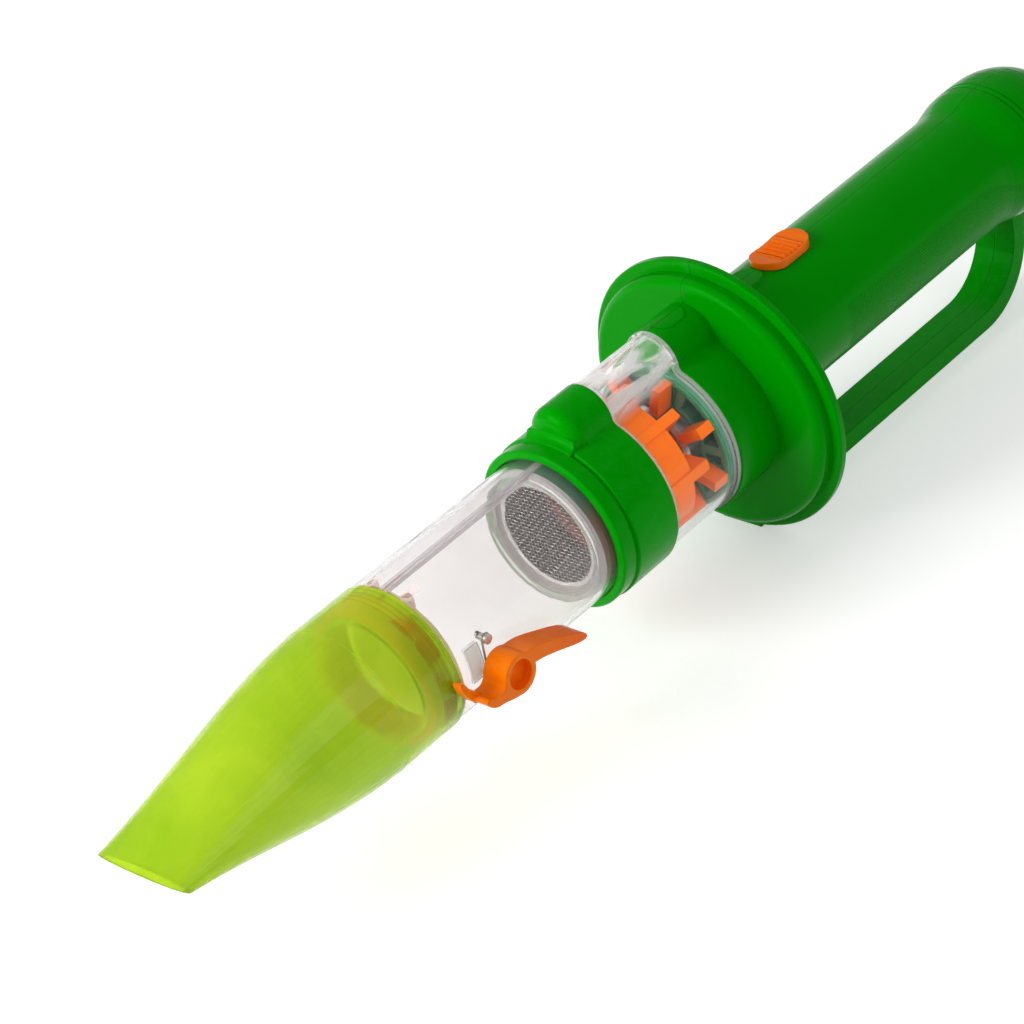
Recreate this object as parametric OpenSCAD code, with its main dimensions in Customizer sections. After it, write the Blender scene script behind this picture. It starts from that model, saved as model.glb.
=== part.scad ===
/* [Capture tube] */
// Outer radius of the clear tube
tube_r = 22; // [20:0.5:25]
// Wall of the clear tube
tube_wall = 1.5; // [1.2:0.1:2]
// Length of tube between the nozzle and the front collar
tube_len = 62; // [50:1:90]
// Length of tube tail that plugs into the front collar
tail_len = 14; // [12:0.5:16]
// Width of the rib inside the top of the tube
rib_w = 1.2; // [1:0.1:3]
// Height of the rib inside the top of the tube
rib_h = 1.3; // [1:0.1:1.8]

/* [Nozzle] */
// How far the nozzle's round rear part stands out past the tube
nozzle_rise = 0.4; // [0:0.1:1.5]
// Wall of the nozzle
nozzle_wall = 1.4; // [1:0.1:1.6]
// Length of the nozzle's round rear part
barrel_len = 21; // [18:1:30]
// Length of the nozzle on its centre line
nozzle_len = 93; // [75:1:120]
// Half the width of the mouth
mouth_half_w = 15.1; // [12:0.1:18]
// Half the height of the mouth
mouth_half_h = 3.9; // [3.7:0.1:6]
// How far the mouth sits below the tube's centre line
mouth_drop = 0.7; // [0:0.1:3]
// Slant of the mouth, from square across
mouth_slant = 45; // [20:1:50]

/* [Coupling and flap] */
// Length of the tube's spigot inside the nozzle
spigot_len = 10; // [8:0.1:14]
// How much smaller the way through the spigot is than the tube, in radius
way_step = 5; // [4.5:0.1:6.5]
// Wall of the spigot
spigot_wall = 1.4; // [1:0.1:1.6]
// Thickness of the flap
flap_t = 1.2; // [1:0.1:2]

/* [Latch] */
// Distance of the latch pivot behind the nozzle
latch_x = 12.5; // [11.5:0.1:16]
// Distance of the latch pivot below the tube's centre line
latch_drop = 3.3; // [2:0.1:5]
// Outer radius of the latch boss
latch_boss_r = 5.8; // [5.4:0.1:6.5]
// Radius of the hollow in the latch boss
latch_hollow_r = 4.1; // [4:0.1:4.4]
// Length of the latch boss
latch_boss_len = 8; // [7.5:0.1:10]
// Radius of the pivot peg
peg_r = 2.3; // [2:0.05:2.4]
// Length of the latch's thumb arm behind its pivot
latch_arm_len = 24; // [20:0.5:34]

/* [Collars] */
// How far the collars stand out past the tube
collar_rise = 3.2; // [3:0.1:5]
// Length of the front collar
collar_len = 22; // [21:0.5:30]
// Length of the lip at the front of the front collar
lip_len = 5; // [3:0.5:6]
// Length of the rear collar
rear_collar_len = 15.5; // [13:0.5:20]
// Height of the lobe's centre above the tube's centre line
lobe_h = 24.3; // [23:0.1:25]
// Radius of the lobe
lobe_r = 9; // [8.5:0.1:10]

/* [Fan] */
// Length of the clear fan chamber between the collars
chamber_len = 28.5; // [27:0.5:36]
// Wall of the clear fan chamber
chamber_wall = 1.5; // [1.2:0.1:1.8]
// Length of the fan's outer band
band_len = 11; // [8:0.5:13]
// Number of fan blades
fan_blades = 8; // [6:1:9]
// Radius of the motor can
motor_r = 12.2; // [10:0.1:13]
// Length of the motor can
motor_len = 25; // [22:0.5:26]
// Radius of the motor's shaft
shaft_r = 1; // [0.8:0.05:1.5]

/* [Flange] */
// Radius of the flange
flange_r = 43; // [41:0.5:46]
// Thickness of the whole flange
flange_t = 7.7; // [7:0.1:10]
// Thickness of the flange's thin rim
rim_t = 2.8; // [2:0.1:3]

/* [Handle] */
// Radius of the grip
grip_r = 19.2; // [18.6:0.1:20.5]
// Height of the grip's centre above the tube's centre line
grip_z = 6.5; // [5:0.1:8]
// Length from the flange's back to the end of the handle
handle_len = 161; // [155:1:180]
// Wall of the handle shells
shell_wall = 2.2; // [1.8:0.1:2.4]
// How far the pommel stands out past the grip
pommel_rise = 2.3; // [1.5:0.1:3]
// Depth of the finger dips
dip_depth = 1.2; // [0.6:0.1:1.5]

/* [Guard] */
// Width of the guard
guard_w = 14; // [12:0.5:16]
// Thickness of the guard
guard_t = 5.5; // [5:0.1:7]
// Inner radius of the guard's rear bend
guard_bend_r = 19; // [14:0.5:21]
// Radius of the hole in the strap eye
eye_hole_r = 3; // [2.5:0.1:3.2]
// Thickness of the strap eye
eye_t = 4; // [3:0.1:6]

/* [Switch] */
// Length of the switch slider
slider_len = 20; // [18:0.5:22]
// Width of the switch slider
slider_w = 12; // [11:0.5:13]
// Height of the switch slider above the grip
slider_h = 2.3; // [2:0.1:3.5]
// Travel of the switch slider
slider_travel = 5; // [3:0.5:6]

/* [Batteries] */
// Radius of a cell
cell_r = 7.1; // [6.9:0.05:7.2]
// Length of a cell without its tip
cell_len = 49; // [48:0.1:50]

/* [Fit] */
// Gap between pieces that move past each other
gap = 0.3; // [0.2:0.05:0.35]
// Running clearance of a pin or shaft in its hole
run_gap = 0.05; // [0.03:0.01:0.08]
// Gap between the two handle shells at the parting seam
seam = 0.06; // [0.05:0.01:0.2]

/* [Hidden] */
$fn = 96;
eps = 0.01;
over = 1;

// Places along the centre line, forward positive, from the joint of nozzle and tube
lip_x = -tube_len;
chamber_x = lip_x - collar_len;
rear_x = chamber_x - chamber_len;
flange_x = rear_x - rear_collar_len;
back_x = flange_x - flange_t;
end_x = back_x - handle_len;
tip_x = nozzle_len + mouth_half_h * tan(mouth_slant);
mid_x = (tip_x + end_x) / 2;
tube_in_r = tube_r - tube_wall;
nozzle_r = tube_r + nozzle_rise;
way_r = tube_r - way_step;
collar_r = tube_r + collar_rise;

// Plastic colours
leaf = [0.02, 0.5, 0.05];
lime = [0.64, 0.8, 0.16, 0.7];
orange = [0.96, 0.42, 0.05];
clear = [0.9, 0.92, 0.93, 0.35];
steel = [0.72, 0.72, 0.72];
dark = [0.05, 0.2, 0.1];

// Puts the tool on the ground plane, centred over the origin
module place() translate([-mid_x, 0, flange_r]) children();
// Turns a profile of radius and length into a solid round an axis along the tool
module spun(z = 0) translate([0, 0, z]) rotate([0, 90, 0]) rotate_extrude() children();
// A round bar along the tool
module bar(r, x1, x2, z = 0) translate([x1, 0, z]) rotate([0, 90, 0]) cylinder(r = r, h = x2 - x1);
// An outline of width and height drawn out along the tool
module along(x1, x2) translate([x1, 0, 0]) rotate([90, 0, 90]) linear_extrude(x2 - x1) children();
// An outline of length and height drawn out across the tool
module across(y1, y2) translate([0, y2, 0]) rotate([90, 0, 0]) linear_extrude(y2 - y1) children();
// A round pin across the tool
module pin(r, x, z, y1, y2) translate([x, y2, z]) rotate([90, 0, 0]) cylinder(r = r, h = y2 - y1);
// A block given by its low and high corners
module block(a, b) translate(a) cube(b - a);
// Points along part of an ellipse
function arc(cx, cy, rx, ry, a1, a2, n) = [
    for (i = [0:n])
        let (a = a1 + (a2 - a1) * i / n)
        [cx + rx * cos(a), cy + ry * sin(a)]
];
// An outline with its corners cut to soft curves
function soft(p, n) = n == 0 ? p : soft([
    for (i = [0:len(p) - 1])
        let (q = p[(i + 1) % len(p)])
        each [p[i] * 0.75 + q * 0.25, p[i] * 0.25 + q * 0.75]
], n - 1);
// A six-sided wire along a path whose curls lie square to the direction up
function unit(v) = v / norm(v);
module wire(path, w, up) {
    n = len(path);
    sides = 6;
    rings = [
        for (i = [0:n - 1])
            let (t = unit(path[min(i + 1, n - 1)] - path[max(i - 1, 0)]), s = unit(cross(t, up)))
            each [for (k = [0:sides - 1]) path[i] + w * (cos(60 * k) * s + sin(60 * k) * up)]
    ];
    skin = [
        for (i = [0:n - 2], k = [0:sides - 1])
            let (p = i * sides + k, q = i * sides + (k + 1) % sides)
            each [[p, q, q + sides], [p, q + sides, p + sides]]
    ];
    first = [for (k = [1:sides - 2]) [0, k + 1, k]];
    m = (n - 1) * sides;
    last = [for (k = [1:sides - 2]) [m, m + k, m + k + 1]];
    polyhedron(points = rings, faces = concat(first, skin, last), convexity = 6);
}
// The least gap between turns of a coil, from points one curl or more apart
curl_rings = 8;
function coil_gap(path, w) = min([
    for (i = [0:len(path) - curl_rings], j = [i + curl_rings - 1:len(path) - 1])
        if (j < len(path)) norm(path[i] - path[j])
]) - 2 * w;

// Nozzle: a round barrel that flattens into a slanted slot
nozzle_rows = 14;
nozzle_sides = 60;
function high_share(t) = 1 - 2.1 * t * t + 1.1 * t * t * t;
function wide_share(t) = 1 - pow(t, 1.25);
function nozzle_row(t, r0, a1, b1, x) = [
    for (k = [0:nozzle_sides - 1])
        let (a = 360 * k / nozzle_sides)
        [x,
         (a1 + (r0 - a1) * wide_share(t)) * cos(a),
         (b1 + (r0 - b1) * high_share(t)) * sin(a) - mouth_drop * (1 - high_share(t))]
];
module nozzle_loft(r0, a1, b1, x0, x1, run) {
    points = [
        for (j = [0:nozzle_rows])
            each nozzle_row(j / nozzle_rows, r0, a1, b1, x0 + (x1 - x0) * j / nozzle_rows),
        each nozzle_row(1, r0, a1, b1, x1 + run)
    ];
    n = nozzle_sides;
    rows = nozzle_rows + 1;
    skin = [
        for (j = [0:rows - 1], k = [0:n - 1])
            let (p = j * n + k, q = j * n + (k + 1) % n)
            each [[p, p + n, q + n], [p, q + n, q]]
    ];
    back = [for (k = [1:n - 2]) [0, k, k + 1]];
    m = rows * n;
    front = [for (k = [1:n - 2]) [m, m + k + 1, m + k]];
    polyhedron(points = points, faces = concat(back, skin, front), convexity = 6);
}
nozzle_in_r = nozzle_r - nozzle_wall;
loft_step = 0.05;
loft_lap = 0.5;
module nozzle() place() color(lime) difference() {
    union() {
        bar(nozzle_r, 0, barrel_len);
        nozzle_loft(nozzle_r - loft_step, mouth_half_w, mouth_half_h,
            barrel_len - loft_lap, tip_x, over);
    }
    bar(nozzle_in_r, -over, barrel_len);
    nozzle_loft(nozzle_in_r - loft_step, mouth_half_w - nozzle_wall, mouth_half_h - nozzle_wall,
        barrel_len - loft_lap, tip_x, 2 * over);
    // The slanted cut that leaves the upper lip the longer
    translate([nozzle_len, 0, -mouth_drop]) rotate([0, mouth_slant, 0])
        block([0, -tube_r, -tube_r], [tube_r, tube_r, tube_r]);
}

// Coupling ring: an orange sleeve on the tube's spigot that grips the nozzle
spigot_r = way_r + spigot_wall;
ring_r = nozzle_in_r - gap;
ring_in_r = spigot_r + run_gap;
ring_x = spigot_len - gap;
ring_band = 2.4;
ring_groove = 0.8;
ring_set = 1.2;
module coupling_ring() place() color(orange) spun() polygon([
    [ring_in_r, ring_set],
    [ring_r, ring_set],
    [ring_r, ring_set + ring_band],
    [ring_r - ring_groove, ring_set + ring_band + ring_groove],
    [ring_r - ring_groove, ring_x - ring_band - ring_groove],
    [ring_r, ring_x - ring_band],
    [ring_r, ring_x - ring_groove],
    [ring_r - ring_groove, ring_x],
    [ring_in_r, ring_x]
]);

// Capture tube: clear, with a rib along its top, a front wall with a spigot, and a latch peg
wall_x = -gap - tube_wall;
tail_x = lip_x - tail_len;
hinge_r = 0.9;
hinge_z = way_r + hinge_r / 2;
ear_t = 2;
ear_y = 5;
flap_x = wall_x - gap - flap_t;
pivot_x = flap_x + flap_t / 2;
wire_r = 0.28;
latch_y = tube_r + 3 * wire_r + gap;
latch_z = -latch_drop;
hollow_in = 2.2;
bearing_len = 2.8;
floor_t = 0.8;
peg_len = hollow_in + bearing_len - floor_t - gap;
stud_r = 1;
stud_x = -latch_x + 1.3 * stud_r;
stud_z = latch_z + latch_boss_r + 3.9 * stud_r;
pocket_set = 4.7;
pocket_l = 4.6;
pocket_low = 4;
pocket_high = 6;
pocket_d = 0.35;
module capture_tube() place() color(clear) difference() {
    union() {
        difference() {
            bar(tube_r, tail_x, -gap);
            bar(tube_in_r, tail_x - over, wall_x);
        }
        bar(spigot_r, wall_x, spigot_len);
        // Rib that keys the filter frame
        block([tail_x, -rib_w / 2, tube_in_r - rib_h], [wall_x + tube_wall / 2, rib_w / 2, tube_in_r + tube_wall / 2]);
        // Ears that hold the flap's pin
        for (s = [-1, 1])
            block([pivot_x - 2 * hinge_r, s * (ear_y + ear_t / 2) - ear_t / 2, hinge_z - 2 * hinge_r],
                [wall_x + tube_wall / 2, s * (ear_y + ear_t / 2) + ear_t / 2, tube_in_r - tube_wall / 2]);
        pin(peg_r, -latch_x, latch_z, tube_r - tube_wall / 2, latch_y + peg_len);
    }
    bar(way_r, wall_x - over, spigot_len + over);
    // Sunk panel beside the latch
    difference() {
        block([-pocket_set - pocket_l, 0, -pocket_low], [-pocket_set, tube_r + over, pocket_high]);
        bar(tube_r - pocket_d, -pocket_set - pocket_l - over, over);
    }
    pin(hinge_r, pivot_x, hinge_z, -ear_y - ear_t - over, ear_y + ear_t + over);
    pin(stud_r + run_gap, stud_x, stud_z, 0, 2 * tube_r);
}

// Stop pin: a small headed pin in the tube's wall that the spring hooks on
stud_head = 0.4;
stud_head_t = 0.8;
stud_in = 2.4;
module stop_pin() place() color(steel) union() {
    pin(stud_r, stud_x, stud_z, tube_r - stud_in, spring_y + wire_r + run_gap);
    pin(stud_r + stud_head, stud_x, stud_z, spring_y + wire_r + run_gap - eps, spring_y + wire_r + run_gap + stud_head_t);
}

// Flap: a clear disc that swings back into the tube from a pin at its top
flap_r = way_r + tube_wall;
module trap_flap() place() color(clear) union() {
    difference() {
        bar(flap_r, flap_x, flap_x + flap_t);
        block([flap_x - over, -tube_r, hinge_z - 3 * hinge_r], [flap_x + flap_t + over, tube_r, tube_r]);
    }
    block([flap_x, gap - ear_y, hinge_z - 4 * hinge_r], [flap_x + flap_t, ear_y - gap, hinge_z]);
    pin(hinge_r - run_gap, pivot_x, hinge_z, -ear_y - ear_t, ear_y + ear_t);
    pin(hinge_r, pivot_x, hinge_z, gap - ear_y, ear_y - gap);
}

// Latch lever: a boss on the peg, a hooked lobe with a thin tongue, and a thumb arm behind
tongue_y = tube_r + nozzle_wall;
tongue_w = 3;
arm_t = 3;
curve_cuts = 2;
boss = latch_boss_r;
module latch_lever() place() color(orange) difference() {
    translate([-latch_x, 0, latch_z]) union() {
        pin(latch_boss_r, 0, 0, latch_y, latch_y + latch_boss_len);
        // Hooked lobe below and ahead of the boss
        across(latch_y, latch_y + latch_boss_len) polygon(soft([
            [-boss * 0.2, -boss * 0.9],
            [boss * 0.35, -boss * 0.99],
            [boss * 1.25, -boss * 0.7],
            [boss * 1.85, -boss * 0.62],
            [boss * 2.35, -boss * 0.1],
            [boss * 2.15, boss * 0.1],
            [boss * 1.85, -boss * 0.08],
            [boss * 1.5, -boss * 0.16],
            [boss * 1.15, -boss * 0.1],
            [boss * 0.8, boss * 0.45],
            [0, 0]
        ], curve_cuts));
        // Tongue that rises over the nozzle's rim
        across(tongue_y, tongue_y + tongue_w) polygon(soft([
            [boss * 1.7, -boss * 0.5],
            [boss * 2.25, -boss * 0.3],
            [boss * 2.55, boss * 0.15],
            [boss * 2.78, boss * 0.6],
            [boss * 2.84, boss * 1.05],
            [boss * 2.56, boss * 1.02],
            [boss * 2.42, boss * 0.68],
            [boss * 2.15, boss * 0.3],
            [boss * 1.75, -boss * 0.05]
        ], curve_cuts));
        // Thumb arm
        across(latch_y, latch_y + latch_boss_len) polygon(soft([
            [0, boss - arm_t / 3],
            [-boss, boss - arm_t / 3],
            [-boss * 2, boss - arm_t],
            [-latch_arm_len - arm_t / 3, -arm_t],
            [-latch_arm_len - arm_t / 3, -2.1 * arm_t],
            [-boss * 2, boss - 2.4 * arm_t],
            [-boss, 0],
            [0, 0]
        ], curve_cuts));
    }
    // Recess for the spring, bearing on the peg, and the open hollow
    pin(latch_hollow_r, -latch_x, latch_z, latch_y - over, latch_y + hollow_in);
    pin(peg_r + run_gap, -latch_x, latch_z, latch_y, latch_y + hollow_in + bearing_len - floor_t);
    pin(latch_hollow_r, -latch_x, latch_z, latch_y + hollow_in + bearing_len, latch_y + latch_boss_len + over);
}

// Latch spring: a wound wire round the peg, whose leg hooks over the stop pin
spring_r = latch_hollow_r - 3 * wire_r;
spring_pitch = 1.05;
spring_turns = 2;
spring_y = tube_r + 2 * wire_r;
hook_r = stud_r + wire_r + run_gap;
hook_path = [
    for (i = [0:5])
        let (a = 200 - 40 * i)
        [stud_x + hook_r * cos(a), spring_y, stud_z + hook_r * sin(a)]
];
curl_path = [
    for (i = [0:curl_rings * spring_turns])
        let (a = -360 * i / curl_rings)
        [-latch_x + spring_r * cos(a), spring_y + spring_pitch * i / curl_rings, latch_z + spring_r * sin(a)]
];
echo(latch_spring_gap = coil_gap(curl_path, wire_r));
module latch_spring() place() color(steel) wire(concat(hook_path, curl_path), wire_r, [0, 1, 0]);

// Filter: a clear stepped frame, a woven disc and a ring that holds it
frame_r = tube_in_r - gap;
frame_out = 5.5;
frame_x = lip_x + frame_out;
frame_len = 8.2;
frame_back = frame_x - frame_len;
mesh_r = frame_r - 3.8;
mesh_t = 0.4;
ledge_r = mesh_r - 1.1;
ledge_t = 1.2;
mesh_x = frame_x - 3.1;
mesh_pitch = 1.8;
mesh_wire = 0.35;
module keyway(x1, x2) block([x1, -rib_w / 2 - gap, tube_in_r - rib_h - gap], [x2, rib_w / 2 + gap, tube_r]);
module filter_frame() place() color(clear) difference() {
    spun() polygon([
        [ledge_r, mesh_x],
        [mesh_r + run_gap, mesh_x],
        [mesh_r + run_gap, frame_back],
        [frame_r, frame_back],
        [frame_r, frame_x - ledge_t],
        [frame_r - ledge_t / 2, frame_x],
        [frame_r - ledge_t, frame_x],
        [frame_r - 1.5 * ledge_t, frame_x - ledge_t],
        [mesh_r + ledge_t / 2, frame_x - ledge_t],
        [mesh_r, mesh_x + ledge_t],
        [ledge_r, mesh_x + ledge_t / 2]
    ]);
    keyway(frame_back - over, frame_x + over);
}
mesh_cells = floor(ledge_r / mesh_pitch);
module filter_mesh() place() color(steel) along(mesh_x - mesh_t, mesh_x) difference() {
    circle(r = mesh_r);
    for (i = [-mesh_cells:mesh_cells], j = [-mesh_cells:mesh_cells])
        if (norm([i, j]) * mesh_pitch < ledge_r - mesh_pitch / 3)
            translate([i, j] * mesh_pitch) square(mesh_pitch - mesh_wire, center = true);
}
module filter_retainer() place() color(dark) spun() polygon([
    [ledge_r - ledge_t / 2, mesh_x - mesh_t],
    [mesh_r, mesh_x - mesh_t],
    [mesh_r, frame_back],
    [ledge_r + ledge_t / 2, frame_back],
    [ledge_r - ledge_t / 2, frame_back + ledge_t]
]);

// Front collar: a lobed housing with a socket for the tube and a spigot for the filter
socket_x = tail_x - gap;
nose_r = tube_in_r - gap;
duct_r = mesh_r - ledge_t / 2;
web_t = 2.3;
web_x = socket_x - web_t;
chamber_r = collar_r - 1.3;
chamber_in_r = chamber_r - chamber_wall;
tongue_t = 1.2;
lobe_set = 7;
lobe_round = 4;
lip_step = 0.5;
lip_groove = 0.6;
seal_r = 0.5;
seal_x = (frame_back + socket_x) / 2;
groove_r = nose_r - 2.6 * gap;
lobe_fill = 2;
foot_r = 2.2;
// The two soft corners between the round body and its lobe
function corner_at(r, lr, f) =
    let (a = r + f, b = lr + f, z = (a * a - b * b + lobe_h * lobe_h) / (2 * lobe_h))
    [sqrt(a * a - z * z), z];
module corners(r, lr, f) {
    c = corner_at(r, lr, f);
    difference() {
        polygon([[0, 0], c, [0, lobe_h], [-c[0], c[1]]]);
        for (s = [-1, 1]) translate([s * c[0], c[1]]) circle(r = f);
    }
}
module lobed(r, lr, f) {
    circle(r = r);
    translate([0, lobe_h]) circle(r = lr);
    corners(r, lr, f);
}
module lobe_bar(r, x1, x2, round) spun(lobe_h) polygon([
    [0, x1],
    [r, x1],
    each arc(r - round, x2 - round, round, round, 0, 90, 6),
    [0, x2]
]);
module front_collar() place() color(leaf) difference() {
    union() {
        difference() {
            union() {
                spun() polygon([
                    [0, lip_x],
                    [collar_r - 2 * lip_step, lip_x],
                    [collar_r - lip_step, lip_x - lip_step],
                    [collar_r - lip_step, lip_x - lip_len],
                    [collar_r - 2 * lip_step, lip_x - lip_len],
                    [collar_r - 2 * lip_step, lip_x - lip_len - lip_groove],
                    [collar_r, lip_x - lip_len - lip_groove - lip_step],
                    [collar_r, chamber_x],
                    [0, chamber_x]
                ]);
                lobe_bar(lobe_r, chamber_x, lip_x - lobe_set, lobe_round);
                along(chamber_x, lip_x - lobe_set - lobe_round) corners(collar_r, lobe_r, lobe_fill);
                // Soft foot in front of the lobe
                intersection() {
                    spun() polygon([
                        [0, lip_x - lobe_set - lobe_round],
                        [collar_r + foot_r, lip_x - lobe_set - lobe_round],
                        [collar_r + foot_r, lip_x - lobe_set],
                        each arc(collar_r + foot_r, lip_x - lobe_set + foot_r, foot_r, foot_r, 270, 180, 6),
                        [0, lip_x - lobe_set + foot_r]
                    ]);
                    bar(lobe_r - lip_step, lip_x - lobe_set - lobe_round, lip_x, lobe_h);
                }
            }
            bar(tube_r + gap, socket_x, lip_x + over);
            bar(chamber_in_r, chamber_x - over, web_x);
        }
        // Spigot inside the tube, with a groove for the seal
        spun() polygon([
            [0, socket_x - eps],
            [nose_r, socket_x - eps],
            [nose_r, seal_x - 1.2 * seal_r],
            [groove_r, seal_x - 1.2 * seal_r],
            [groove_r, seal_x + 1.2 * seal_r],
            [nose_r, seal_x + 1.2 * seal_r],
            [nose_r, frame_back],
            [0, frame_back]
        ]);
        // Rim that locates the clear chamber
        bar(chamber_in_r - gap / 2, chamber_x - tongue_t, web_x + eps);
    }
    bar(duct_r, web_x - over, frame_back + over);
    bar(chamber_in_r - gap / 2 - tongue_t, chamber_x - tongue_t - over, web_x);
    keyway(socket_x, frame_back + over);
}
module tube_seal() place() color(dark) difference() {
    spun() translate([groove_r + seal_r, seal_x]) circle(r = seal_r, $fn = 32);
    keyway(socket_x, frame_back);
}

// Clear fan chamber: the same lobed outline, open at both ends, with a bead at each
chamber_lobe_r = lobe_r - 0.8;
chamber_fill = lobe_fill + lobe_r - chamber_lobe_r;
bead_h = 0.6;
bead_w = 1.3;
module fan_chamber() place() color(clear) difference() {
    union() {
        along(rear_x, chamber_x) lobed(chamber_r, chamber_lobe_r, chamber_fill);
        for (x = [rear_x, chamber_x - bead_w])
            along(x, x + bead_w) lobed(chamber_r + bead_h, chamber_lobe_r + bead_h, chamber_fill - bead_h);
    }
    along(rear_x - over, chamber_x + over)
        lobed(chamber_in_r, chamber_lobe_r - chamber_wall, chamber_fill + chamber_wall);
}

// Fan: an outer band with curved blades in it and thick teeth that run on behind it, on a hub
fan_r = chamber_in_r - 1.8;
band_t = 1.3;
fan_x = chamber_x - tongue_t - 2 * gap;
fan_len = 17;
fan_back = fan_x - fan_len;
blade_t = 1.4;
blade_bend_r = 15;
tooth_w = 3.2;
tooth_turn = 5;
tooth_r = chamber_in_r - 0.9;
hub_r = 4.6;
nose_share = 1 / 24;
band_back = fan_x - band_len;
blade_r = fan_r - band_t / 2;
bend_off = sqrt(blade_bend_r * blade_bend_r - blade_r * blade_r / 4);
module blade() intersection() {
    translate([-bend_off, blade_r / 2]) difference() {
        circle(r = blade_bend_r + blade_t / 2);
        circle(r = blade_bend_r - blade_t / 2);
    }
    translate([-blade_t, 0]) square([blade_bend_r, blade_r]);
}
module impeller() place() color(orange) difference() {
    union() {
        difference() {
            bar(fan_r, band_back, fan_x);
            bar(fan_r - band_t, band_back - over, fan_x + over);
        }
        intersection() {
            along(band_back, fan_x - gap) for (k = [0:fan_blades - 1]) rotate(360 * k / fan_blades) blade();
            bar(blade_r, band_back - over, fan_x);
        }
        // Teeth: ribs on the band that run on as thick paddles behind it
        intersection() {
            along(fan_back, fan_x - band_t) for (k = [0:fan_blades - 1]) rotate(tooth_turn + 360 * k / fan_blades)
                translate([0, -tooth_w / 2]) square([2 * tooth_r, tooth_w]);
            spun() polygon([
                [fan_r - band_t / 2, fan_x],
                [tooth_r, fan_x],
                [tooth_r, fan_back],
                [0, fan_back],
                [0, band_back + band_t],
                [fan_r - band_t / 2, band_back + band_t]
            ]);
        }
        spun() polygon([
            [0, fan_back],
            [hub_r, fan_back],
            [hub_r, fan_x - hub_r],
            each arc(0, fan_x - hub_r, hub_r, hub_r - gap, 360 * nose_share, 90, 5)
        ]);
    }
    bar(shaft_r, fan_back - over, fan_x - hub_r);
}

// Motor: shaft, can, end cap and the bulkhead that carries it
motor_x = fan_back - 2;
motor_nose_r = 3.1;
motor_nose = 1.3;
motor_back = motor_x - motor_len;
cap_len = 2.2;
tab_w = 2.4;
tab_t = 0.5;
tab_len = 4;
tab_z = motor_r * 0.6;
module motor_shaft() place() color(steel) bar(shaft_r, motor_x - motor_nose, fan_x - hub_r - gap);
module motor_can() place() color(steel) difference() {
    union() {
        spun() polygon([
            [0, motor_back],
            [motor_r, motor_back],
            [motor_r, motor_x - motor_nose],
            [motor_r - motor_nose, motor_x],
            [0, motor_x]
        ]);
        bar(motor_nose_r, motor_x - eps, motor_x + motor_nose);
    }
    bar(shaft_r + run_gap, motor_x - motor_nose - run_gap, motor_x + motor_nose + over);
}
module motor_cap() place() color(dark) union() {
    bar(motor_r - tab_t, motor_back - cap_len, motor_back);
    bar(motor_nose_r, motor_back - cap_len - motor_nose, motor_back);
    for (s = [-1, 1])
        block([motor_back - cap_len - tab_len, -tab_w / 2, s * tab_z - tab_t / 2],
            [motor_back - cap_len + eps, tab_w / 2, s * tab_z + tab_t / 2]);
}
mount_x = rear_x + 2 * tongue_t;
mount_t = 2.4;
sleeve_len = 12;
sleeve_t = 1.6;
mount_r = chamber_in_r - gap / 2;
sleeve_r = motor_r + run_gap + sleeve_t;
vane_n = 6;
vane_w = 3;
module motor_mount() place() color(dark) difference() {
    union() {
        bar(sleeve_r, mount_x - sleeve_len, mount_x);
        along(mount_x - mount_t, mount_x) difference() {
            circle(r = mount_r);
            difference() {
                circle(r = mount_r - 2 * sleeve_t);
                circle(r = sleeve_r - eps);
                for (k = [0:vane_n - 1]) rotate(360 * k / vane_n)
                    translate([0, -vane_w / 2]) square([mount_r, vane_w]);
            }
        }
        difference() {
            bar(mount_r, mount_x - sleeve_len / 2, mount_x);
            bar(mount_r - sleeve_t, mount_x - sleeve_len, mount_x + over);
        }
    }
    bar(motor_r + run_gap, mount_x - sleeve_len - over, mount_x + over);
}
// Fixed vanes round the motor's front, carried by a ring before the bulkhead
stator_x = fan_back - 0.8;
stator_ring_w = 1;
module stator_vanes() place() color(orange) union() {
    difference() {
        bar(mount_r, mount_x + run_gap, mount_x + run_gap + stator_ring_w);
        bar(mount_r - sleeve_t, mount_x, mount_x + sleeve_len);
    }
    intersection() {
        along(mount_x + run_gap, stator_x) for (k = [0:fan_blades - 1])
            rotate(tooth_turn + 360 * (k + 0.5) / fan_blades) translate([motor_r + 2 * gap, -tooth_w / 2]) square([mount_r, tooth_w]);
        union() {
            bar(mount_r - gap, mount_x, stator_x + over);
        }
    }
}

// Handle shells: rear collar, flange, grip, pommel and knuckle guard, parted down the middle
flange_round = 2.6;
plateau_r = flange_r * 0.925;
rim_x = back_x + rim_t;
pommel_x = back_x - handle_len * 0.71;
crest_x = back_x - handle_len * 0.8;
dome_x = back_x - handle_len * 0.845;
pommel_r = grip_r + pommel_rise;
groove_w = 1.1;
groove_d = 0.5;
cavity_r = grip_r - shell_wall;
cavity_x = flange_x - shell_wall;
cavity_end = dome_x - shell_wall;
grip_low = grip_z - grip_r;
dip_first = back_x - handle_len * 0.34;
dip_pitch = 25;
dip_half = dip_pitch * 0.45;
dip_r = (dip_half * dip_half + dip_depth * dip_depth) / (2 * dip_depth);
guard_back = crest_x - guard_t;
guard_low = -flange_r;
bend_x = crest_x + guard_bend_r;
bend_z = guard_low + guard_t + guard_bend_r;
gusset = 9;
eye_r = eye_hole_r + 3;
eye_x = guard_back - eye_hole_r;
eye_z = grip_z - pommel_r - eye_r - gap;
function blend_share(t) = (1 - cos(180 * t)) / 2;
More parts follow.
